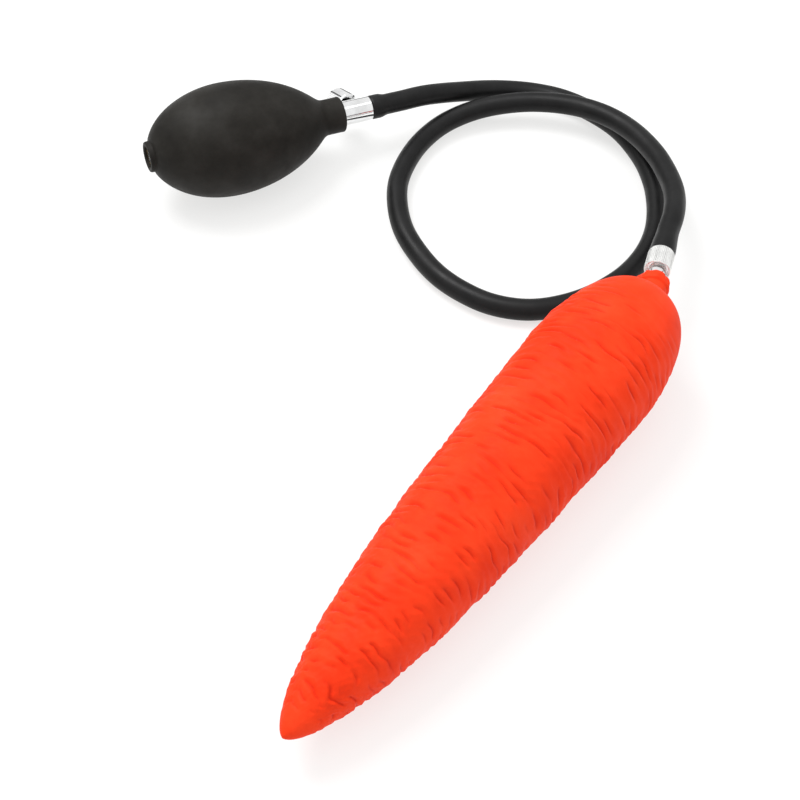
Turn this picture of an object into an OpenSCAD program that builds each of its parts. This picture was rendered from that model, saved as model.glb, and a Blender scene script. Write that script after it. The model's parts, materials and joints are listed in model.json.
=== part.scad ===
// Hand inflator: squeeze bulb, release valve, hose, screw coupling and tapered inflatable bladder.
// Everything rests on the plane z = 0. The two ends of the hose stay where they are:
// the pump hangs on one of them, the coupling and the bladder on the other.

/* [Bulb] */
// Largest outer diameter of the bulb
bulb_d = 48; // [38:0.5:60]
// From the widest ring back to the end of the tail collar
bulb_tail_len = 36.5; // [30:0.5:50]
// From the widest ring forward to the end of the neck
bulb_front_len = 51.5; // [46:0.5:64]
// Where the shoulder's curve would close, ahead of the widest ring
bulb_shoulder_len = 46; // [40:0.5:56]
// Thickness of the bulb's wall
bulb_wall = 2.2; // [1.5:0.1:3]
// Outer diameter of the neck that grips the valve
bulb_neck_d = 15.4; // [13.4:0.1:18.5]
// Outer diameter of the tail collar around the inlet valve
tail_collar_d = 13; // [12:0.1:18]
// How deep the inlet valve sits in the tail collar
inlet_recess = 1.2; // [0.4:0.1:2]
// Turn of the bulb's axis away from +X, seen from above
pump_yaw = 23.5; // [0:0.5:40]

/* [Inlet valve] */
// Outer diameter of the inlet valve's body
inlet_d = 9; // [7.5:0.1:10.8]
// Length of the inlet valve's body
inlet_len = 11; // [10:0.5:14]
// Diameter of the inlet ball
inlet_ball_d = 4; // [3.2:0.1:4.8]
// Bore that the inlet ball closes
inlet_hole_d = 2.6; // [1.8:0.1:3]
// How far the inlet ball can lift
inlet_lift = 1.2; // [0.6:0.1:1.6]

/* [Release valve] */
// Diameter of the valve body between neck and hose
valve_d = 10.6; // [9.8:0.1:12.8]
// Length of the valve body between neck and hose
valve_len = 13.5; // [12.5:0.5:18]
// Diameter of the tail that sits in the bulb's neck
valve_tail_d = 9.4; // [8.6:0.1:10.4]
// Length of the tail that sits in the bulb's neck
valve_tail_len = 15; // [13:0.5:18]
// Air bore through the valve body
air_bore_d = 3; // [2:0.1:3.2]
// Diameter of the check ball
check_ball_d = 5; // [4.2:0.1:5.6]
// How far the check ball can lift
check_lift = 1.2; // [0.6:0.1:1.4]
// Distance of the release screw's axis from the end of the neck
release_z = 7; // [6.4:0.1:8]
// Lean of the release screw back towards the bulb
release_lean = 9; // [0:1:14]
// Rise of the release screw above the horizontal
release_rise = -19; // [-40:1:80]
// Diameter of the release screw's spindle
spindle_d = 3; // [2.4:0.1:3.4]
// Diameter of the release screw's knob
knob_d = 11.4; // [10:0.1:12.6]
// Length of the release screw's knob
knob_len = 7.3; // [5:0.1:10]
// Thread pitch of the release screw
release_pitch = 0.7; // [0.5:0.05:1]
// Turns from closed to fully open
release_turns = 2; // [1:0.5:2]

/* [Hose] */
// Outer diameter of the hose
hose_d = 9; // [7.4:0.1:10.8]
// Inner diameter of the hose
hose_bore = 5; // [4:0.1:6]
// Largest diameter of a hose barb
barb_d = 7; // [6:0.1:8]
// Length of a hose barb
barb_len = 9; // [7:0.5:10]
// Length of hose end that runs straight beyond each fitting
hose_end_len = 15.5; // [12.5:0.5:18]
// Wall of the hose where a barb stretches it
stretched_wall = 1.7; // [1.2:0.1:2.2]

/* [Coupling] */
// Outer diameter of the knurled collar
collar_d = 10.8; // [10.4:0.1:13]
// Length of the knurled collar
collar_len = 9.9; // [9.6:0.1:14]
// Diameter of the plain stem
stem_d = 7; // [6:0.1:7.4]
// Outside diameter of the stem's thread
thread_d = 8; // [7.6:0.1:8.6]
// Length of the stem's thread
thread_len = 4; // [3:0.5:4.5]
// Stem length that shows between the bladder's bead and the collar
stem_gap = 5.6; // [4.5:0.1:8]
// Turn of the coupling's axis away from +X, seen from above
coupling_yaw = 73; // [50:1:90]

/* [Bladder] */
// Largest diameter of the bladder
bladder_d = 52.4; // [42:0.1:64]
// Length of the bladder without its neck
bladder_len = 223; // [180:0.5:280]
// Length of the domed fat end
dome_len = 46; // [38:1:56]
// Thickness of the bladder's skin
bladder_wall = 1.8; // [1.2:0.1:2.5]
// Diameter of the bladder's neck
bladder_neck_d = 11; // [9.6:0.1:13]
// Diameter of the bead at the end of the neck
bead_d = 14.3; // [12.5:0.1:17]
// Length of the bead
bead_len = 5; // [3.5:0.1:7]
// From the pole of the dome to the end of the bead
neck_len = 10.4; // [9:0.1:14]
// Turn of the bladder's axis away from +X, seen from above
bladder_yaw = 52.8; // [30:0.1:70]
// Lift of the bladder's axis from the tip to the fat end
bladder_pitch = 3; // [2:0.5:4]
// Offset of the bladder's axis to one side of its neck
bladder_offset = 0.9; // [0:0.1:3]

/* [Hidden] */
$fn = 72;

rubber_black = "#2f2e2b";
hose_black = "#3a3a39";
chrome = "#e3e5e4";
brass = "#c9a85a";
steel = "#b9bcc0";
bladder_red = "#f9431e";
seal_black = "#262626";

// Clearances
running = 0.05;          // radial, between a turning or sliding piece and its bore
seat_gap = 0.02;         // between a closed ball or needle and its seat
face_gap = 0.1;          // between a turning face and a still one
barb_bite = 0.2;         // how far a barb's ridge presses into rubber
edge = 0.3;              // chamfer of a turned part's edge
over = 1;                // how far a cut runs past the face it opens

// The hose's route, from the pump to the coupling
route = [[0.6, 149.14, 17.9], [9.7, 153.44, 17], [18.8, 158.29, 14.4], [28.4, 163.39, 11],
    [38.7, 168.09, 7.8], [49.9, 170.59, 5.5], [61.9, 169.99, 4.5], [74.1, 165.79, 4.5],
    [86.1, 157.74, 4.5], [97.9, 145.39, 4.5], [106.1, 128.89, 4.5], [109.9, 112.89, 4.5],
    [110.3, 96.89, 4.5], [107.9, 81.89, 4.5], [102.1, 68.19, 4.5], [92.5, 55.69, 4.5],
    [79.2, 45.49, 4.5], [64.9, 39.29, 4.5], [51.1, 37.29, 4.5], [37.2, 40.19, 4.5], [25.3, 47.19, 4.5],
    [15.3, 56.59, 4.5], [7.3, 68.89, 4.5], [1.3, 82.89, 4.5], [-1.2, 97.89, 4.5], [-0.7, 111.89, 4.5],
    [3.8, 126.39, 4.6], [10.8, 138.59, 5], [20.9, 148.29, 6.2], [34.9, 154.69, 8], [50.9, 157.09, 9.7],
    [65.9, 155.89, 11.1], [80.4, 151.29, 12.4], [92.9, 142.69, 13.9], [102.9, 129.89, 15.6],
    [110.1, 113.39, 17.8], [113.6, 95.89, 20.3], [113.8, 82.89, 22.6], [111.6, 70.89, 24.8],
    [108.4, 61.39, 25.5]];
hose_sides = 10;

// Bulb
bulb_r = bulb_d / 2;
neck_r = bulb_neck_d / 2;
widest_z = -bulb_front_len;
tail_face_z = widest_z - bulb_tail_len;
bulb_lip = 2;
lip_ease = 0.3;
collar_step = 0.5;
shell_tail_len = bulb_tail_len - collar_step;
shoulder_power = 0.66;
neck_blend = 8;
outline_steps = 14;

// The pump hangs on the hose's first point and lies on its belly
pump_reach = valve_len + hose_end_len;
belly_reach = pump_reach + bulb_front_len;
first_droop = asin((bulb_r - route[0][2]) / belly_reach);
belly_height = norm([bulb_shoulder_len * sin(first_droop), bulb_r * cos(first_droop)]);
pump_droop = asin((belly_height - route[0][2]) / belly_reach);

// Inlet valve, measured along the bulb's axis
inlet_z = tail_face_z + inlet_recess;
inlet_end_z = inlet_z + inlet_len;
filter_d = inlet_ball_d + 2.4;
filter_len = 0.6;
filter_hole_d = 0.5;
filter_rings = 2;
filter_ring_gap = filter_d * 0.17;
inlet_seat_len = 2.6;
inlet_seat_z = inlet_z + filter_len + inlet_seat_len;
inlet_chamber_d = inlet_ball_d + 1.6;
inlet_rest = sqrt(pow(inlet_ball_d / 2, 2) - pow(inlet_hole_d / 2, 2));
inlet_ball_z = inlet_seat_z + inlet_rest + seat_gap;
pin_d = 1.2;
pin_z = inlet_ball_z + inlet_ball_d / 2 + inlet_lift + seat_gap + pin_d / 2;
inlet_boss_end_z = inlet_z + inlet_len * 0.7;
inlet_rib_z = [inlet_z + 2, inlet_z + 4.5];
inlet_rib_len = 1.2;

// Check valve
check_chamber_d = check_ball_d + 1.4;
check_seat_len = 2.5;
check_seat_z = -valve_tail_len + check_seat_len;
valve_rib_z = [-valve_tail_len + 5.5, -valve_tail_len + 9];
valve_rib_len = 1.6;
check_hole_d = check_ball_d * 0.6;
check_rest = sqrt(pow(check_ball_d / 2, 2) - pow(check_hole_d / 2, 2));
check_ball_z = check_seat_z + check_rest + seat_gap;
check_wire_d = 0.35;
check_spring_r = check_ball_d * 0.38;
check_spring_z = check_ball_z + sqrt(pow(check_ball_d / 2, 2) - pow(check_spring_r, 2)) + check_wire_d * 0.6;
check_turns = 3;
check_spring_slack = 0.4;
wire_sides = 6;
wire_steps = 14;
check_spring_len = check_wire_d * check_turns + check_lift + check_spring_slack;
check_shoulder_z = check_spring_z + check_spring_len + check_wire_d / 2;

// Release valve, measured out from the pump's axis along the screw
boss_d = spindle_d + 4.4;
boss_end = 8.4;
needle_seat = 2.6;
needle_hole_d = 1.6;
needle_len = 1.4;
needle_tip_d = needle_hole_d + 0.3;
release_bore_d = spindle_d + 1.2;
vent_d = 1.3;
vent_at = 3.5;
seal_groove_d = spindle_d - 0.8;
seal_at = 5.1;
seal_wire_d = (release_bore_d - seal_groove_d) / 2 - running;
bush_in = 7.1;
bush_thread_d = spindle_d + 2.4;
bush_flange_d = boss_d - 0.6;
bush_flange_len = 0.8;
knob_gap = 0.25;
knob_at = boss_end + bush_flange_len + knob_gap;
knob_end_len = 0.8;
spindle_end = knob_at + knob_len - knob_end_len;
knob_teeth = 44;
knob_tooth = 0.22;
knob_bevel = 0.5;
knob_recess = 1;
knob_rim = 1.1;
knob_skirt = 2.6;

// Hose barbs
barb_r = barb_d / 2;
barb_root_r = barb_r - 0.7;
barb_tip_r = barb_root_r - 0.2;
end_flare = 1;
end_blend = 1.5;
end_bore_blend = 2.5;
end_r = barb_r + stretched_wall;

// Coupling, measured from the dome's pole towards the hose
collar_z = neck_len + stem_gap;
collar_end_z = collar_z + collar_len;
mouth_len = 1.6;
mouth_clear = 0.7;
thread_z = collar_z + mouth_len + 2 * face_gap;
thread_end_z = thread_z + thread_len;
washer_len = 1.4;
washer_clear = 0.5;
back_wall = 1.7;
collar_teeth = 48;
collar_tooth = 0.14;
tail_flange_z = thread_end_z + washer_len;
tail_flange_end_z = collar_end_z - back_wall - face_gap;
coupling_reach = collar_end_z + face_gap + hose_end_len;
stem_foot_z = -11;
stem_foot_len = 1.5;
stem_foot_d = stem_d + 5;
stem_rib_z = [-4, 0, 4];
stem_rib_len = 1.5;
sleeve_z = stem_foot_z + stem_foot_len;

// The bladder lies on its side, its axis rising towards the fat end
bladder_r = bladder_d / 2;
taper_len = bladder_len - dome_len;
taper_round = 4.4;
taper_power = 0.61;
taper_loss = 0.3;
dome_power = 0.34;
dimple_r = bladder_neck_d / 2 + 1.3;
dimple_depth = 5;
dimple_slope_r = 1.2;
dimple_slope_depth = 1.8;
dome_first_step = 3;
taper_steps = 2 * outline_steps;
taper_ease = 0.4;
bead_lip = 0.8;
bead_bevel = 1.2;
bead_roll = 1.6;
pole_z = max([for (p = bladder_side(bladder_r, dome_len, taper_len))
    p[1] * sin(bladder_pitch) + p[0] * cos(bladder_pitch)]);
finish = route[len(route) - 1];
coupling_droop = asin((pole_z - finish[2]) / coupling_reach);
coupling_dir = [cos(coupling_yaw) * cos(coupling_droop), sin(coupling_yaw) * cos(coupling_droop),
    -sin(coupling_droop)];
pole = finish - coupling_reach * coupling_dir;

// ---- Outlines, as [radius, distance] points ----

function tail_radius(x, r, len) = r * sqrt(max(0, 1 - pow(x / len, 2)));
function shoulder_radius(x, r, len) = r * pow(max(0, 1 - pow(x / len, 2)), shoulder_power);
function blend_radius(a, b) = pow(pow(a, neck_blend) + pow(b, neck_blend), 1 / neck_blend);

// Side of the bulb, from its closed tail to its neck
function bulb_side(r, back, front, neck) = concat(
    [for (i = [0 : outline_steps]) let (a = 90 * i / outline_steps)
        [tail_radius(back * cos(a), r, back), widest_z - back * cos(a)]],
    [for (i = [1 : outline_steps]) let (x = front * sin(90 * i / outline_steps))
        [blend_radius(shoulder_radius(x, r, front), neck), widest_z + x]]);

// Side of the bladder, from the pole of the dome to the tip
function dome_radius(t, r, len) = r * pow(max(0, 1 - pow(1 - t / len, 2)), dome_power);
function taper_radius(x, r) =
    r * pow(1 - pow(1 - x, taper_round), taper_power) * (1 - taper_loss * (1 - x));
function bladder_side(r, dome, taper) = concat(
    [for (i = [dome_first_step : outline_steps]) let (t = dome * (1 - cos(90 * i / outline_steps)))
        [dome_radius(t, r, dome), t]],
    [for (i = [1 : taper_steps]) let (x = 1 - i / taper_steps,
            s = x * x * (3 - 2 * x) * taper_ease + x * (1 - taper_ease))
        [taper_radius(s, r), dome + taper * (1 - s)]]);

// ---- Frames ----

// Local +Z runs along the pump from the bulb to the hose, zero at the end of the neck
module on_pump() {
    translate(route[0]) rotate([0, 90 + pump_droop, pump_yaw]) translate([0, 0, -pump_reach]) children();
}

// Local +Z runs out along the release screw, zero on the pump's axis
module on_release() {
    on_pump() translate([0, 0, release_z]) rotate([0, 0, 90 + release_rise])
        rotate([0, 90 + release_lean, 0]) children();
}

// Local +Z runs from the bladder to the hose, zero at the pole of the dome
module on_coupling() {
    translate(pole) rotate([0, 90 + coupling_droop, coupling_yaw]) children();
}

// Local +Z runs from the pole of the dome to the tip
module on_bladder() {
    translate(pole) rotate([0, 90 + bladder_pitch, bladder_yaw + 180])
        translate([0, bladder_offset, 0]) children();
}

// ---- Shapes used more than once ----

// Straight tube from z0 to z1
module tube(z0, z1, d_out, d_in) {
    translate([0, 0, z0]) difference() {
        cylinder(h = z1 - z0, d = d_out);
        translate([0, 0, -over]) cylinder(h = z1 - z0 + 2 * over, d = d_in);
    }
}

// Rod from z0 to z1
module rod(z0, z1, d) {
    translate([0, 0, z0]) cylinder(h = z1 - z0, d = d);
}

// Two saw-tooth ridges on a root, from z0 towards +Z
module barb(z0, len, root_r, ridge_r) {
    tooth = len / 3;
    rotate_extrude() polygon(concat(
        [[0, z0], [root_r, z0], [root_r, z0 + tooth * 0.6]],
        [for (i = [0, 1]) each [[ridge_r, z0 + tooth * (0.6 + i)], [ridge_r, z0 + tooth * (0.75 + i)],
            [root_r, z0 + tooth * (1.6 + i)]]],
        [[barb_tip_r, z0 + len], [0, z0 + len]]));
}

// Cylinder with fine straight knurling and chamfered ends
module knurled(z0, z1, d, teeth, depth, bevel) {
    intersection() {
        translate([0, 0, z0]) linear_extrude(z1 - z0) polygon([for (i = [0 : 2 * teeth - 1])
            let (a = 180 * i / teeth, r = d / 2 - depth * (i % 2)) [r * cos(a), r * sin(a)]]);
        rotate_extrude() polygon([[0, z0], [d / 2 - bevel, z0], [d / 2 + depth, z0 + bevel + depth],
            [d / 2 + depth, z1 - bevel - depth], [d / 2 - bevel, z1], [0, z1]]);
    }
}

// Stretched hose end over a barb, from z0 towards +Z
module hose_end(z0) {
    grip = z0 + barb_len;
    z1 = z0 + hose_end_len;
    rotate_extrude() polygon([[barb_r - barb_bite, z0], [end_r - edge, z0], [end_r, z0 + edge],
        [end_r, grip - end_flare], [hose_d / 2, z1 - end_blend], [hose_d / 2, z1], [hose_bore / 2, z1],
        [hose_bore / 2, grip + end_bore_blend], [barb_r - barb_bite, grip]]);
}

// ---- Bulb and inlet valve ----

module bulb() color(rubber_black) on_pump() difference() {
    union() {
        rotate_extrude() polygon(concat(
            bulb_side(bulb_r, shell_tail_len, bulb_shoulder_len, neck_r),
            [[neck_r, -bulb_lip], [neck_r - lip_ease * bulb_lip, -lip_ease * bulb_lip],
                [neck_r - bulb_lip, 0], [0, 0]]));
        rod(tail_face_z, widest_z - bulb_tail_len / 2, tail_collar_d);
    }
    difference() {
        rotate_extrude() polygon(concat(
            bulb_side(bulb_r - bulb_wall, shell_tail_len - bulb_wall,
                bulb_shoulder_len - bulb_wall, valve_tail_d / 2),
            [[0, widest_z + bulb_shoulder_len - bulb_wall]]));
        rod(tail_face_z, inlet_boss_end_z, tail_collar_d);
    }
    rod(widest_z, over, valve_tail_d);
    rod(tail_face_z - over, inlet_boss_end_z + over, inlet_d);
}

module inlet_valve_body() color(brass) on_pump() difference() {
    union() {
        rod(inlet_z, inlet_end_z, inlet_d);
        for (z = inlet_rib_z) translate([0, 0, z])
            cylinder(h = inlet_rib_len, d1 = inlet_d, d2 = inlet_d + 2 * barb_bite);
    }
    rod(inlet_z - over, inlet_z + filter_len, filter_d);
    rod(inlet_z, inlet_end_z, inlet_hole_d);
    rod(inlet_seat_z, inlet_end_z + over, inlet_chamber_d);
    translate([0, 0, pin_z]) rotate([90, 0, 0]) cylinder(h = inlet_d + 2 * over, d = pin_d, center = true);
}

module inlet_filter() color(steel) on_pump() difference() {
    rod(inlet_z, inlet_z + filter_len, filter_d);
    for (ring = [0 : filter_rings]) for (i = [0 : max(0, 6 * ring - 1)])
        rotate([0, 0, ring == 0 ? 0 : 60 * i / ring]) translate([ring * filter_ring_gap, 0, inlet_z - over])
            cylinder(h = filter_len + 2 * over, d = filter_hole_d, $fn = 16);
}

module inlet_ball() color(steel) on_pump() translate([0, 0, inlet_ball_z]) sphere(d = inlet_ball_d);

module inlet_stop_pin() color(brass) on_pump() translate([0, 0, pin_z]) rotate([90, 0, 0])
    cylinder(h = inlet_d - 2 * face_gap, d = pin_d, center = true);

// ---- Release valve ----

module valve_body() color(chrome) difference() {
    union() {
        on_pump() {
            rod(-valve_tail_len, 0, valve_tail_d);
            for (z = valve_rib_z) translate([0, 0, z])
                cylinder(h = valve_rib_len, d1 = valve_tail_d, d2 = valve_tail_d + 2 * barb_bite);
            rotate_extrude() polygon([[0, 0], [valve_d / 2 - edge, 0], [valve_d / 2, edge],
                [valve_d / 2, valve_len - edge], [valve_d / 2 - edge, valve_len], [0, valve_len]]);
            barb(valve_len, barb_len, barb_root_r, barb_r);
        }
        on_release() rotate_extrude() polygon([[0, 0], [boss_d / 2, 0], [boss_d / 2, boss_end - edge],
            [boss_d / 2 - edge, boss_end], [0, boss_end]]);
    }
    on_pump() {
        rod(-valve_tail_len - over, valve_len + barb_len + over, air_bore_d);
        rod(-valve_tail_len - over, check_shoulder_z, check_chamber_d);
    }
    on_release() {
        rod(0, boss_end, needle_hole_d);
        rod(needle_seat, boss_end + over, release_bore_d);
        rod(bush_in, boss_end + over, bush_thread_d);
        translate([0, 0, vent_at]) rotate([-90, 0, 0]) cylinder(h = valve_d, d = vent_d);
    }
}

module check_seat() color(brass) on_pump() difference() {
    rod(-valve_tail_len, check_seat_z, check_chamber_d);
    rod(-valve_tail_len - over, check_seat_z + over, check_hole_d);
}

module check_ball() color(steel) on_pump() translate([0, 0, check_ball_z]) sphere(d = check_ball_d);

// Closed polyhedron swept along a list of rings, each a list of points
module sweep_rings(rings) {
    sides = len(rings[0]);
    last = len(rings) - 1;
    polyhedron(points = [for (ring = rings) each ring], faces = concat(
        [[for (j = [0 : sides - 1]) j]],
        [for (i = [0 : last - 1]) for (j = [0 : sides - 1]) let (k = (j + 1) % sides)
            each [[i * sides + j, (i + 1) * sides + j, (i + 1) * sides + k],
                [i * sides + j, (i + 1) * sides + k, i * sides + k]]],
        [[for (j = [sides - 1 : -1 : 0]) last * sides + j]]));
}

module check_spring() color(steel) on_pump() {
    steps = wire_steps * check_turns;
    sweep_rings([for (i = [0 : steps]) let (a = 360 * check_turns * i / steps,
            z = check_spring_z + check_spring_len * i / steps)
        [for (j = [0 : wire_sides - 1]) let (b = -360 * j / wire_sides,
                r = check_spring_r + check_wire_d / 2 * cos(b))
            [r * cos(a), r * sin(a), z + check_wire_d / 2 * sin(b)]]]);
}

module release_bush() color(brass) on_release() difference() {
    union() {
        rod(bush_in, boss_end, bush_thread_d);
        rod(boss_end, boss_end + bush_flange_len, bush_flange_d);
    }
    rod(bush_in - over, boss_end + bush_flange_len + over, spindle_d + 2 * running);
}

module release_seal() color(seal_black) on_release() translate([0, 0, seal_at])
    rotate_extrude() translate([seal_groove_d / 2 + seal_wire_d / 2 + running / 2, 0])
        circle(d = seal_wire_d);

module release_spindle() color(steel) on_release() difference() {
    union() {
        translate([0, 0, needle_seat + seat_gap])
            cylinder(h = needle_len, d1 = needle_tip_d, d2 = spindle_d);
        rod(needle_seat + seat_gap + needle_len, spindle_end, spindle_d);
    }
    tube(seal_at - seal_wire_d / 2 - running, seal_at + seal_wire_d / 2 + running,
        spindle_d + over, seal_groove_d);
}

module release_knob() color(chrome) on_release() difference() {
    knurled(knob_at - knob_skirt, knob_at + knob_len, knob_d, knob_teeth, knob_tooth, knob_bevel);
    rod(knob_at - knob_skirt - over, knob_at + knob_recess, knob_d - 2 * knob_rim);
    rod(knob_at, spindle_end, spindle_d);
}

// ---- Hose ----

module hose_end_at_valve() color(hose_black) on_pump() hose_end(valve_len);

module hose_end_at_coupling() color(hose_black) on_coupling() hose_end(collar_end_z + face_gap);

function unit(v) = v / norm(v);
function route_dir(i) = i == 0 ? pump_dir() : i == len(route) - 1 ? -coupling_dir
    : unit(route[i + 1] - route[i - 1]);
function pump_dir() = [cos(pump_yaw) * cos(pump_droop), sin(pump_yaw) * cos(pump_droop), -sin(pump_droop)];

module hose() color(hose_black) sweep_rings([for (i = [0 : len(route) - 1])
    let (dir = route_dir(i), side = unit(cross(dir, [0, 0, 1])), up = cross(side, dir))
    [for (j = [0 : hose_sides - 1]) let (a = -360 * (j + 0.5) / hose_sides)
        route[i] + hose_d / 2 * (cos(a) * side + sin(a) * up)]]);

// ---- Coupling ----

module hose_tail() color(chrome) on_coupling() difference() {
    union() {
        rod(tail_flange_z, tail_flange_end_z, thread_d - 2 * running);
        rod(tail_flange_z, collar_end_z + face_gap, barb_d);
        barb(collar_end_z + face_gap, barb_len, barb_root_r, barb_r);
    }
    rod(tail_flange_z - over, collar_end_z + barb_len + over, air_bore_d);
}

module coupling_washer() color(seal_black) on_coupling()
    tube(thread_end_z + seat_gap, tail_flange_z, thread_d - washer_clear, air_bore_d + washer_clear);

module coupling_collar() color(chrome) on_coupling() difference() {
    knurled(collar_z, collar_end_z, collar_d, collar_teeth, collar_tooth, edge);
    rod(collar_z - over, collar_z + mouth_len, thread_d + 2 * mouth_clear);
    rod(collar_z - over, collar_end_z - back_wall, thread_d + 2 * running);
    rod(collar_z - over, collar_end_z + over, barb_d + 2 * running);
}

module bladder_stem() color(chrome) on_coupling() difference() {
    union() {
        rod(stem_foot_z, stem_foot_z + stem_foot_len, stem_foot_d);
        rod(stem_foot_z, thread_end_z, stem_d);
        rod(thread_z, thread_end_z, thread_d);
        for (z = stem_rib_z) translate([0, 0, z])
            cylinder(h = stem_rib_len, d1 = stem_d + 2 * barb_bite, d2 = stem_d);
    }
    rod(stem_foot_z - over, thread_end_z + over, air_bore_d);
}

// ---- Bladder ----

module bladder_form(r, dome, taper, start) {
    translate([0, 0, start]) rotate_extrude() polygon(concat(
        [[0, dimple_depth], [dimple_r, dimple_depth],
            [dimple_r + dimple_slope_r, dimple_depth - dimple_slope_depth]],
        bladder_side(r, dome, taper)));
}

module bladder() color(bladder_red) difference() {
    union() {
        on_bladder() bladder_form(bladder_r, dome_len, taper_len, 0);
        on_coupling() rotate_extrude() polygon([[0, sleeve_z], [bladder_neck_d / 2, sleeve_z],
            [bladder_neck_d / 2, neck_len - bead_len], [bead_d / 2 - bead_lip, neck_len - bead_len],
            [bead_d / 2, neck_len - bead_len + bead_bevel], [bead_d / 2, neck_len - bead_roll],
            [bead_d / 2 - bead_roll, neck_len], [0, neck_len]]);
    }
    difference() {
        on_bladder() bladder_form(bladder_r - bladder_wall, dome_len - bladder_wall,
            taper_len - bladder_wall, bladder_wall);
        on_coupling() rod(sleeve_z, neck_len, bladder_neck_d);
    }
    on_coupling() rod(stem_foot_z - over, neck_len + over, stem_d);
}

bulb();
inlet_valve_body();
inlet_filter();
inlet_ball();
inlet_stop_pin();
valve_body();
check_seat();
check_ball();
check_spring();
release_bush();
release_seal();
release_spindle();
release_knob();
hose_end_at_valve();
hose();
hose_end_at_coupling();
hose_tail();
coupling_washer();
coupling_collar();
bladder_stem();
bladder();
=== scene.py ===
"""Looks for the hand inflator: a rubber squeeze bulb, a chrome release valve, a hose and a tapered bladder."""

import json
import math

import bpy
import numpy as np
from mathutils import Matrix, Vector


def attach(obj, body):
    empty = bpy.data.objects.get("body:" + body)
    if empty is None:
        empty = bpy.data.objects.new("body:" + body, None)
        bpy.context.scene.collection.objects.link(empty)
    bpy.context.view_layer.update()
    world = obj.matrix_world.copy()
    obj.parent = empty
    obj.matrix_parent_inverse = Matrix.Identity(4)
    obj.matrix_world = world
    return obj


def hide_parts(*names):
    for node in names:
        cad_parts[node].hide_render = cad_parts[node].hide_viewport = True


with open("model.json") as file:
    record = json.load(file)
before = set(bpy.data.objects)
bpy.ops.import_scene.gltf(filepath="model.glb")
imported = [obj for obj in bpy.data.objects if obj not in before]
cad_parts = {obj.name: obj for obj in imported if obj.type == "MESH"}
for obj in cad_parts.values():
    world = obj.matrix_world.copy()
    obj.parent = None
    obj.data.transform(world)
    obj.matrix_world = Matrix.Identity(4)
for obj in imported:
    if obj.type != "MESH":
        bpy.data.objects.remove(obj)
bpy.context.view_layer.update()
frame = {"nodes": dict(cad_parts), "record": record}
joints = {j["name"]: j for j in frame["record"]["behaviour"]["joints"]}
MM = 0.001

# ---- Camera ----

CAMERA_PLACE = Vector((-0.0001, -0.36581, 0.461))
CAMERA_TILT = math.radians(38)
CAMERA_LENS = 67.5

camera_data = bpy.data.cameras.new("camera")
camera_data.lens = CAMERA_LENS
camera_data.sensor_width = 36
camera_data.clip_start = 0.01
camera = bpy.data.objects.new("camera", camera_data)
camera.location = CAMERA_PLACE
camera.rotation_euler = (CAMERA_TILT, 0, 0)
bpy.context.scene.collection.objects.link(camera)
bpy.context.scene.camera = camera


# ---- Frames of the two fittings, from the joints ----

def axes_along(origin, direction):
    """A frame whose local Z runs along direction, with its local X as near straight up as it can be."""
    z = Vector(direction).normalized()
    y = z.cross(Vector((0, 0, 1))).normalized()
    x = y.cross(z)
    return Matrix.Translation(origin) @ Matrix((x, y, z)).transposed().to_4x4()


CHECK_BALL_Z = -10.48 * MM      # the check ball's centre, from the end of the bulb's neck
VALVE_LEN = 13.5 * MM
COLLAR_END = 25.9 * MM          # from the pole of the bladder's dome
FACE_GAP = 0.1 * MM

pump_dir = Vector(joints["check_ball_lift"]["axis"]).normalized()
neck_end = Vector(joints["check_ball_lift"]["pos_m"]) - CHECK_BALL_Z * pump_dir
pump = axes_along(neck_end, pump_dir)
pole = Vector(joints["bladder_travel"]["pos_m"])
coupling_dir = -Vector(joints["bladder_travel"]["axis"]).normalized()
coupling = axes_along(pole, coupling_dir)

# ---- Hose ----

HOSE_D = 9 * MM
HOSE_CUFF = 10.5 / 9            # how much a barb swells the hose
HOSE_STEP = 2 * MM
ROUTE = [(0.6, 149.14, 17.9), (9.7, 153.44, 17), (18.8, 158.29, 14.4), (28.4, 163.39, 11),
    (38.7, 168.09, 7.8), (49.9, 170.59, 5.5), (61.9, 169.99, 4.5), (74.1, 165.79, 4.5),
    (86.1, 157.74, 4.5), (97.9, 145.39, 4.5), (106.1, 128.89, 4.5), (109.9, 112.89, 4.5),
    (110.3, 96.89, 4.5), (107.9, 81.89, 4.5), (102.1, 68.19, 4.5), (92.5, 55.69, 4.5),
    (79.2, 45.49, 4.5), (64.9, 39.29, 4.5), (51.1, 37.29, 4.5), (37.2, 40.19, 4.5), (25.3, 47.19, 4.5),
    (15.3, 56.59, 4.5), (7.3, 68.89, 4.5), (1.3, 82.89, 4.5), (-1.2, 97.89, 4.5), (-0.7, 111.89, 4.5),
    (3.8, 126.39, 4.6), (10.8, 138.59, 5), (20.9, 148.29, 6.2), (34.9, 154.69, 8), (50.9, 157.09, 9.7),
    (65.9, 155.89, 11.1), (80.4, 151.29, 12.4), (92.9, 142.69, 13.9), (102.9, 129.89, 15.6),
    (110.1, 113.39, 17.8), (113.6, 95.89, 20.3), (113.8, 82.89, 22.6), (111.6, 70.89, 24.8),
    (108.4, 61.39, 25.5)]


def smooth_line(points, step):
    """Catmull-Rom curve through the points, sampled about every step."""
    p = [np.array(q, float) for q in points]
    p = [2 * p[0] - p[1]] + p + [2 * p[-1] - p[-2]]
    line = []
    for a, b, c, d in zip(p, p[1:], p[2:], p[3:]):
        count = max(2, round(np.linalg.norm(c - b) / step))
        for t in np.arange(count) / count:
            line.append(0.5 * (2 * b + (c - a) * t + (2 * a - 5 * b + 4 * c - d) * t ** 2
                + (3 * b - a - 3 * c + d) * t ** 3))
    return line + [p[-2]]


def ease(x):
    x = min(1, max(0, x))
    return x * x * (3 - 2 * x)


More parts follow.
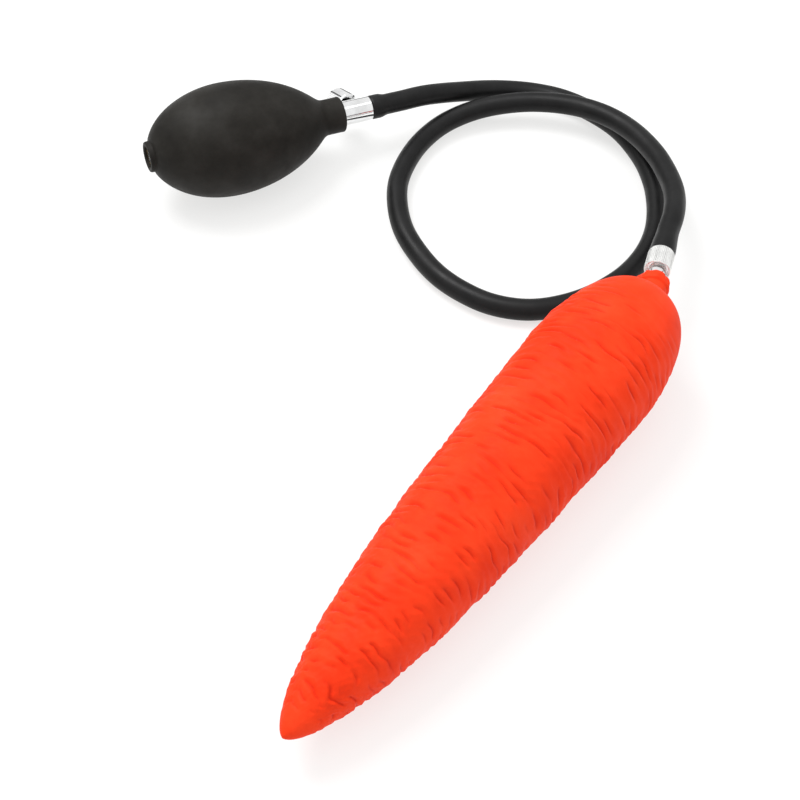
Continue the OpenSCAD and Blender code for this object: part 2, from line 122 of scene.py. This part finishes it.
def cuff(distance):
    """Radius factor of the hose at a distance from its end: rounded lip, swollen over the barb, then plain."""
    lip = 1 - 0.13 * (1 - min(1, distance / (0.9 * MM))) ** 2
    waist = 0.035 * math.exp(-((distance - 6.6 * MM) / (1.2 * MM)) ** 2)
    swell = (HOSE_CUFF - 1) * (1 - ease((distance - 4.2 * MM) / (4.4 * MM)))
    return lip * (1 + swell - waist)


def sleeve(distance):
    """Radius factor where the hose slips over the coupling's barb: one long ease with no step."""
    return 1 + (HOSE_CUFF - 1) * (1 - ease(distance / (14 * MM))) ** 0.8


hose_start = pump @ Vector((0, 0, VALVE_LEN))
hose_finish = coupling @ Vector((0, 0, COLLAR_END + FACE_GAP))
straight = [i * MM for i in (0, 0.3, 0.7, 1.2, 2, 3, 4, 5, 6, 7, 8, 9, 10, 11.5, 13, 14.3)]
route_line = smooth_line([[c * MM for c in p] for p in ROUTE], HOSE_STEP)
hose_line = [np.array(hose_start + d * pump_dir) for d in straight] + route_line \
    + [np.array(hose_finish + d * coupling_dir) for d in reversed(straight)]
hose_along = np.r_[0, np.cumsum(np.linalg.norm(np.diff(hose_line, axis=0), axis=1))]



def swept(name, line, radii, sides):
    """A closed tube along the line, its rings turned as little as they can be."""
    line = [Vector(q) for q in line]
    tangents = [(b - a).normalized() for a, b in zip(line, line[1:])]
    tangents = [tangents[0]] + [(a + b).normalized() for a, b in zip(tangents, tangents[1:])] + [tangents[-1]]
    side = tangents[0].cross(Vector((0, 0, 1))).normalized()
    points, faces = [], []
    for place, tangent, radius in zip(line, tangents, radii):
        side = (side - tangent * side.dot(tangent)).normalized()
        up = side.cross(tangent)
        for j in range(sides):
            angle = 2 * math.pi * j / sides
            points.append(place + float(radius) * (math.cos(angle) * side + math.sin(angle) * up))
    for i in range(len(line) - 1):
        for j in range(sides):
            k = (j + 1) % sides
            faces.append((i * sides + j, i * sides + k, (i + 1) * sides + k, (i + 1) * sides + j))
    faces.append(tuple(range(sides)))
    faces.append(tuple((len(line) - 1) * sides + j for j in range(sides - 1, -1, -1)))
    mesh = bpy.data.meshes.new(name)
    mesh.from_pydata([tuple(q) for q in points], [], faces)
    mesh.shade_smooth()
    obj = bpy.data.objects.new(name, mesh)
    bpy.context.scene.collection.objects.link(obj)
    return obj


hose_radii = [HOSE_D / 2 * (cuff(s) if s < hose_along[-1] / 2 else sleeve(hose_along[-1] - s)) for s in hose_along]
hose = swept("hose_rubber", hose_line, hose_radii, 40)
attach(hose, "pump")
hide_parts("hose", "hose_end_at_valve", "hose_end_at_coupling")


# ---- Materials ----

def node_material(name, base, roughness, metallic=0.0, specular=0.5):
    """A principled material with object coordinates to hang detail on."""
    mat = bpy.data.materials.new(name)
    mat.use_nodes = True
    nodes, links = mat.node_tree.nodes, mat.node_tree.links
    shader = nodes["Principled BSDF"]
    shader.inputs["Base Color"].default_value = (*base, 1)
    shader.inputs["Roughness"].default_value = roughness
    shader.inputs["Metallic"].default_value = metallic
    shader.inputs["Specular IOR Level"].default_value = specular
    coords = nodes.new("ShaderNodeTexCoord")
    return mat, nodes, links, shader, coords.outputs["Object"]


def noise(nodes, links, coords, scale, detail=4, rough=0.55, stretch=None):
    """Noise of so many cells per metre, stretched along the axes if asked."""
    if stretch:
        mapping = nodes.new("ShaderNodeMapping")
        mapping.inputs["Scale"].default_value = stretch
        links.new(coords, mapping.inputs["Vector"])
        coords = mapping.outputs["Vector"]
    tex = nodes.new("ShaderNodeTexNoise")
    tex.inputs["Scale"].default_value = scale
    tex.inputs["Detail"].default_value = detail
    tex.inputs["Roughness"].default_value = rough
    links.new(coords, tex.inputs["Vector"])
    return tex.outputs["Fac"]


def ramp(nodes, links, source, stops):
    """Colour ramp over the stops, each (place, colour)."""
    node = nodes.new("ShaderNodeValToRGB")
    band = node.color_ramp
    band.elements[0].position, band.elements[0].color = stops[0][0], (*stops[0][1], 1)
    band.elements[1].position, band.elements[1].color = stops[-1][0], (*stops[-1][1], 1)
    for place, colour in stops[1:-1]:
        band.elements.new(place).color = (*colour, 1)
    links.new(source, node.inputs["Fac"])
    return node.outputs["Color"]


def spread(nodes, links, source, low, high):
    """Maps a noise of 0.3 to 0.7 to low to high."""
    node = nodes.new("ShaderNodeMapRange")
    for key, value in (("From Min", 0.3), ("From Max", 0.7), ("To Min", low), ("To Max", high)):
        node.inputs[key].default_value = value
    links.new(source, node.inputs["Value"])
    return node.outputs["Result"]


def bump(nodes, links, shader, source, height, strength=1.0):
    """Adds relief of that height in metres to the shader's normal."""
    node = nodes.new("ShaderNodeBump")
    node.inputs["Distance"].default_value = height
    node.inputs["Strength"].default_value = strength
    links.new(source, node.inputs["Height"])
    if shader.inputs["Normal"].links:
        links.new(shader.inputs["Normal"].links[0].from_socket, node.inputs["Normal"])
    links.new(node.outputs["Normal"], shader.inputs["Normal"])


def rubber(name, dark, base, dusty, rough, specular, cell=90):
    """Moulded rubber: mottled colour, uneven sheen and a fine skin."""
    mat, nodes, links, shader, coords = node_material(name, base, rough[0], specular=specular)
    mottle = noise(nodes, links, coords, cell, 5, 0.6)
    links.new(ramp(nodes, links, mottle, [(0.36, dark), (0.52, base), (0.7, dusty)]), shader.inputs["Base Color"])
    links.new(spread(nodes, links, noise(nodes, links, coords, cell * 1.7, 4), *rough), shader.inputs["Roughness"])
    bump(nodes, links, shader, noise(nodes, links, coords, 2600, 3), 0.00004, 0.5)
    bump(nodes, links, shader, noise(nodes, links, coords, 260, 3), 0.00012, 0.25)
    return mat


def paint_shade(mat, attribute, colour):
    """Painted shade: mixes the base colour towards a darker one where the mesh attribute is high."""
    nodes, links = mat.node_tree.nodes, mat.node_tree.links
    shader = nodes["Principled BSDF"]
    depth = nodes.new("ShaderNodeAttribute")
    depth.attribute_name = attribute
    mix = nodes.new("ShaderNodeMix")
    mix.data_type = "RGBA"
    mix.inputs["B"].default_value = (*colour, 1)
    links.new(depth.outputs["Fac"], mix.inputs["Factor"])
    links.new(shader.inputs["Base Color"].links[0].from_socket, mix.inputs["A"])
    links.new(mix.outputs["Result"], shader.inputs["Base Color"])


def metal(name, base, rough, fine=700, scratch=0.25):
    """Plated or turned metal: slight tone change, smears in the gloss and hairline wear."""
    mat, nodes, links, shader, coords = node_material(name, base, rough[0], metallic=1.0)
    tone = tuple(0.86 * c for c in base)
    links.new(ramp(nodes, links, noise(nodes, links, coords, 240, 5), [(0.3, tone), (0.6, base)]),
        shader.inputs["Base Color"])
    links.new(spread(nodes, links, noise(nodes, links, coords, fine, 5, stretch=(1, 1, 0.2)), *rough),
        shader.inputs["Roughness"])
    bump(nodes, links, shader, noise(nodes, links, coords, fine * 3, 2, stretch=(1, 0.15, 1)), 0.00002, scratch)
    return mat


bulb_mat = rubber("bulb_rubber", (0.008, 0.007, 0.0055), (0.0135, 0.0122, 0.01), (0.021, 0.0195, 0.017),
    (0.5, 0.66), 0.15, 60)
hose_mat = rubber("hose_rubber", (0.004, 0.004, 0.0041), (0.0065, 0.0065, 0.0067), (0.0095, 0.0095, 0.0097),
    (0.36, 0.5), 0.2, 80)
seal_mat = rubber("seal_rubber", (0.01, 0.01, 0.01), (0.02, 0.02, 0.02), (0.03, 0.03, 0.03), (0.5, 0.6), 0.3, 200)
bladder_mat = rubber("bladder_rubber", (0.83, 0.036, 0.006), (0.9, 0.046, 0.0085), (0.95, 0.06, 0.014),
    (0.55, 0.7), 0.1, 46)
# Painted shade: the bladder's red is mixed towards a deep red along its grooves, in place of the shade that falls in
# them.
paint_shade(bladder_mat, "painted_crease_shade", (0.45, 0.006, 0.002))
chrome_mat = metal("chrome", (0.95, 0.953, 0.955), (0.05, 0.13))
satin_mat = metal("satin_chrome", (0.97, 0.97, 0.955), (0.3, 0.42))
brass_mat = metal("brass", (0.72, 0.52, 0.24), (0.2, 0.36))
steel_mat = metal("steel", (0.66, 0.66, 0.67), (0.14, 0.28))


# ---- Meshes ----

def revolved(name, profile, place, sides, push=None, tilt=None):
    """A closed skin turned round the local Z of place.

    profile is a list of (radius, distance) from one pole to the other. push(z, angle, radius) returns
    how far each point moves outwards.
    """
    r = np.array([p[0] for p in profile])
    z = np.array([p[1] for p in profile])
    angle = np.arange(sides) * 2 * math.pi / sides
    rr, aa = np.meshgrid(r, angle, indexing="ij")
    zz = np.repeat(z[:, None], sides, axis=1)
    if push:
        rr = rr + push(zz, aa, rr)
    pts = np.stack([rr * np.cos(aa), rr * np.sin(aa), zz], axis=-1).reshape(-1, 3)
    if tilt:
        pts = tilt(pts)
    m = np.array(place)
    pts = pts @ m[:3, :3].T + m[:3, 3]
    rows = len(profile)
    faces = []
    for i in range(rows - 1):
        a, b = i * sides, (i + 1) * sides
        for j in range(sides):
            k = (j + 1) % sides
            faces.append((a + j, a + k, b + k, b + j))
    faces.append(tuple(range(sides - 1, -1, -1)))
    faces.append(tuple((rows - 1) * sides + j for j in range(sides)))
    mesh = bpy.data.meshes.new(name)
    mesh.from_pydata(pts.tolist(), [], faces)
    mesh.validate()
    mesh.shade_smooth()
    obj = bpy.data.objects.new(name, mesh)
    bpy.context.scene.collection.objects.link(obj)
    return obj


def dress(obj, body, slot, mat, *nodes):
    obj.data.materials.clear()
    obj.data.materials.append(mat)
    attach(obj, body)
    if nodes:
        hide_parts(*nodes)
    return obj


hose.data.materials.append(hose_mat)

# ---- Bulb ----

BULB_R = 24 * MM
WIDEST = -51.5 * MM
TAIL_LEN = 36 * MM
SHOULDER_LEN = 46 * MM
NECK_R = 7.7 * MM
TAIL_FACE = -88 * MM
COLLAR_R = 6.5 * MM
INLET_R = 4.5 * MM
RECESS = 4 * MM


def tail_r(x):
    return BULB_R * math.sqrt(max(0, 1 - (x / TAIL_LEN) ** 2))


def shoulder_r(x):
    shoulder = BULB_R * max(0, 1 - (x / SHOULDER_LEN) ** 2) ** 0.66
    return (shoulder ** 8 + NECK_R ** 8) ** (1 / 8)


def rounded(points, radius, steps=6):
    """The corners of an outline, each rounded by a short curve."""
    line = [points[0]]
    for a, b, c in zip(points, points[1:], points[2:]):
        a, b, c = (np.array(q, float) for q in (a, b, c))
        reach = min(radius, np.linalg.norm(b - a) / 2, np.linalg.norm(c - b) / 2)
        start = b + (a - b) / np.linalg.norm(a - b) * reach
        stop = b + (c - b) / np.linalg.norm(c - b) * reach
        for t in np.linspace(0, 1, steps):
            line.append(tuple((1 - t) ** 2 * start + 2 * t * (1 - t) * b + t * t * stop))
    return line + [points[-1]]


collar_x = TAIL_LEN * math.sqrt(1 - (COLLAR_R / BULB_R) ** 2)
collar_foot = WIDEST - collar_x
tail_outline = rounded([(INLET_R, TAIL_FACE + RECESS), (INLET_R, TAIL_FACE + 0.2 * MM), (INLET_R + 0.6 * MM, TAIL_FACE),
    (COLLAR_R, TAIL_FACE), (COLLAR_R + 0.1 * MM, collar_foot + 0.3 * MM), (tail_r(collar_x * 0.975), WIDEST - collar_x * 0.975)],
    0.7 * MM)
belly = [(tail_r(collar_x * 0.975 * math.cos(a)), WIDEST - collar_x * 0.975 * math.cos(a))
    for a in np.linspace(0.02, math.pi / 2, 60)]
front = [(shoulder_r(SHOULDER_LEN * math.sin(a)), WIDEST + SHOULDER_LEN * math.sin(a))
    for a in np.linspace(0.02, math.pi / 2, 70)]
neck_outline = rounded([front[-1], (NECK_R, -1.6 * MM), (NECK_R * 1.015, -0.2 * MM), (NECK_R - 1.2 * MM, 0), (5.2 * MM, 0)],
    1.4 * MM)[1:]
bulb_outline = tail_outline + belly + front + neck_outline + [(4.7 * MM, 0.0), (4.7 * MM, -2 * MM)]


def bulb_push(z, angle, radius):
    """Hand-made unevenness: shallow dents that fade at the collar and the neck."""
    body = np.clip((radius - 8 * MM) / (12 * MM), 0, 1)
    wave = np.sin(2 * angle + 40 * z) * 0.12 + np.sin(3 * angle - 90 * z + 1) * 0.07 \
        + np.sin(5 * angle + 160 * z + 2) * 0.035
    return body * wave * MM


bulb = revolved("bulb_skin", bulb_outline, pump, 144, bulb_push)
dress(bulb, "pump", "bulb_rubber", bulb_mat, "bulb")

# ---- Bladder ----

BLADDER_R = 26.2 * MM
DOME = 46 * MM
TAPER = 177 * MM
BLADDER_YAW = math.radians(52.8)
BLADDER_PITCH = math.radians(3)
BLADDER_OFFSET = 0.9 * MM       # how far the axis lies to one side of the neck
CREASE_GAP = 3.7 * MM
CREASE_WIDTH = 0.5 * MM
# width of the band of painted shade along each groove
CREASE_SHADE = 0.34 * MM
TAPER_ROWS = 560
SIDES = 220
rng = np.random.default_rng(11)

bladder_dir = Vector((-math.cos(BLADDER_YAW) * math.cos(BLADDER_PITCH),
    -math.sin(BLADDER_YAW) * math.cos(BLADDER_PITCH), -math.sin(BLADDER_PITCH)))
bladder_side = Vector((math.sin(BLADDER_YAW), -math.cos(BLADDER_YAW), 0))
bladder_place = axes_along(pole + BLADDER_OFFSET * bladder_side, bladder_dir)


def waves(z, angle, count, pitch, turns, seed):
    """Smooth noise over the skin from a few waves: pitch in metres along the axis, whole turns round it."""
    dice = np.random.default_rng(seed)
    total = np.zeros_like(z)
    for _ in range(count):
        k = dice.integers(-turns, turns + 1)
        f = dice.uniform(0.4, 1.0) * 2 * math.pi / pitch * dice.choice([-1, 1])
        total += np.sin(k * angle + f * z + dice.uniform(0, 2 * math.pi))
    return total / math.sqrt(count)


# painted shade mask along the grooves, filled in by bladder_push
painted_crease_shades = []


def bladder_push(z, angle, radius):
    """Swells and grooves that run round the skin, break off and start again, as on a root vegetable; also stores how
    much painted shade each point gets in its groove.
    """
    warp = (1.0 * waves(z, angle, 7, 45 * MM, 3, 1) + 0.6 * waves(z, angle, 8, 16 * MM, 7, 2)
        + 0.34 * waves(z, angle, 10, 8 * MM, 16, 3)) * MM
    along = (z + warp) / CREASE_GAP
    fade = np.clip((z - 12 * MM) / (22 * MM), 0, 1) * np.clip((DOME + TAPER - 3 * MM - z) / (14 * MM), 0, 1)
    index = np.round(along).astype(int)
    gap = (along - index) * CREASE_GAP
    rows = index.max() + 2
    depth = np.zeros_like(z)
    for m in (2, 3, 5, 8, 11):
        phase = rng.uniform(0, 2 * math.pi, rows)
        depth += np.sin(m * angle + phase[index])
    depth = np.clip(0.28 + 0.42 * depth, 0, 1.1)
    # painted shade: how strongly the colour is darkened at each point, strongest in the middle of each groove
    painted_crease_shades.append(fade * np.clip(depth, 0, 1) * np.exp(-(gap / CREASE_SHADE) ** 2))
    groove = -0.42 * depth * np.exp(-(gap / CREASE_WIDTH) ** 2)
    swell = 0.34 * np.cos(2 * math.pi * gap / CREASE_GAP + math.pi) * (0.3 + 0.5 * depth)
    fine = 0.05 * waves(z, angle, 14, 3.4 * MM, 40, 4)
    lump = 0.13 * waves(z, angle, 14, 9 * MM, 9, 6) + 0.16 * waves(z, angle, 9, 26 * MM, 4, 5)
    return fade * (groove + swell + fine + lump) * MM


dome_outline = []
for a in np.linspace(math.radians(17), math.pi / 2, 110):
    t = DOME * (1 - math.cos(a))
    dome_outline.append((BLADDER_R * (1 - (1 - t / DOME) ** 2) ** 0.34, t))
taper_outline = []
for i in range(1, TAPER_ROWS + 1):
    x = 1 - i / TAPER_ROWS
    x = 0.4 * x * x * (3 - 2 * x) + 0.6 * x
    taper_outline.append((BLADDER_R * (1 - (1 - x) ** 4.4) ** 0.61 * (1 - 0.3 * (1 - x)), DOME + TAPER * (1 - x)))
dimple = [(6.4 * MM, 4.6 * MM), (7.0 * MM, 4.2 * MM), (7.9 * MM, 3.2 * MM), (8.5 * MM, 2.5 * MM)]
bladder = revolved("bladder_skin", dimple + dome_outline + taper_outline[:-1] + [(0.3 * MM, DOME + TAPER)],
    bladder_place, SIDES, bladder_push)
# the painted shade mask becomes a mesh attribute that the bladder material reads
bladder.data.attributes.new("painted_crease_shade", "FLOAT", "POINT").data.foreach_set("value", 0.5 * painted_crease_shades[0].ravel())
dress(bladder, "bladder", "bladder_rubber", bladder_mat, "bladder")
bladder.visible_glossy = False

# Neck with its rolled bead, and the trimmed tab beside it
BLADDER_NECK_R = 5.5 * MM
BEAD_R = 6.7 * MM
STEM_R = 3.5 * MM
bead_outline = rounded([(BLADDER_NECK_R, -3 * MM), (BLADDER_NECK_R, 5.2 * MM), (BEAD_R - 0.4 * MM, 5.6 * MM),
    (BEAD_R, 7.4 * MM), (BEAD_R - 0.5 * MM, 9.6 * MM), (5.0 * MM, 10.3 * MM), (STEM_R + 0.05 * MM, 10.2 * MM)], 1.1 * MM, 9)
bead_outline += [(STEM_R + 0.05 * MM, 8 * MM)]


def bead_push(z, angle, radius):
    """The bead is rolled by hand, so it is a little uneven, and a trimmed tab stands out at one side."""
    on_bead = np.clip((z - 5 * MM) / (2 * MM), 0, 1) * np.clip((radius - 4.5 * MM) / (2 * MM), 0, 1)
    wave = 0.32 * np.sin(3 * angle + 1) + 0.26 * np.sin(7 * angle) + 0.16 * np.sin(12 * angle + 900 * z)
    tab = 0.9 * np.exp(-((np.angle(np.exp(1j * (angle - TAB_ANGLE)))) / 0.2) ** 2)
    return on_bead * (wave + tab) * MM


TAB_ANGLE = math.radians(-80)
bead = revolved("bladder_bead", bead_outline, coupling, 96, bead_push)
dress(bead, "bladder", "bladder_rubber", bladder_mat, "bladder")

# ---- CAD pieces keep their shape and get their metal ----

looks = {"valve_body": chrome_mat, "release_knob": chrome_mat, "coupling_collar": satin_mat, "hose_tail": chrome_mat,
    "bladder_stem": chrome_mat, "inlet_valve_body": brass_mat, "inlet_stop_pin": brass_mat, "release_bush": steel_mat,
    "check_seat": brass_mat, "inlet_filter": steel_mat, "inlet_ball": steel_mat, "check_ball": steel_mat,
    "check_spring": steel_mat, "release_spindle": steel_mat, "release_seal": seal_mat, "coupling_washer": seal_mat}
for node, mat in looks.items():
    frame["nodes"][node].data.materials.clear()
    frame["nodes"][node].data.materials.append(mat)

# ---- Floor, light and world ----

floor_mesh = bpy.data.meshes.new("floor")
floor_mesh.from_pydata([(-3, -3, 0), (3, -3, 0), (3, 3, 0), (-3, 3, 0)], [], [(0, 1, 2, 3)])
floor = bpy.data.objects.new("floor", floor_mesh)
floor.location.z = -0.0002
bpy.context.scene.collection.objects.link(floor)
floor_mat, _, _, floor_shader, _ = node_material("paper", (0.3, 0.3, 0.3), 0.9, specular=0.0)
floor_shader.inputs["Emission Color"].default_value = (1, 1, 0.99, 1)
floor_shader.inputs["Emission Strength"].default_value = 0.68
floor_mesh.materials.append(floor_mat)


def area_light(name, place, target, size, power):
    data = bpy.data.lights.new(name, "AREA")
    data.energy = power
    data.size = size
    light = bpy.data.objects.new(name, data)
    light.location = place
    light.rotation_euler = (Vector(target) - Vector(place)).to_track_quat("-Z", "Y").to_euler()
    bpy.context.scene.collection.objects.link(light)
    return light


area_light("key", (-0.45, 0.45, 1.1), (0, 0, 0), 0.6, 11)
area_light("top", (0.1, 0.0, 1.4), (0, 0, 0), 1.0, 3)

world = bpy.data.worlds.new("studio")
bpy.context.scene.world = world
world.use_nodes = True
world_nodes, world_links = world.node_tree.nodes, world.node_tree.links
background = world_nodes["Background"]
background.inputs["Strength"].default_value = 0.88
direction = world_nodes.new("ShaderNodeTexCoord")
split = world_nodes.new("ShaderNodeSeparateXYZ")
world_links.new(direction.outputs["Generated"], split.inputs["Vector"])
band = ramp(world_nodes, world_links, split.outputs["Z"],
    [(0.0, (0.02, 0.02, 0.02)), (0.13, (0.03, 0.03, 0.03)), (0.17, (1, 1, 1))])
world_links.new(band, background.inputs["Color"])
bpy.context.scene.view_settings.view_transform = "Standard"
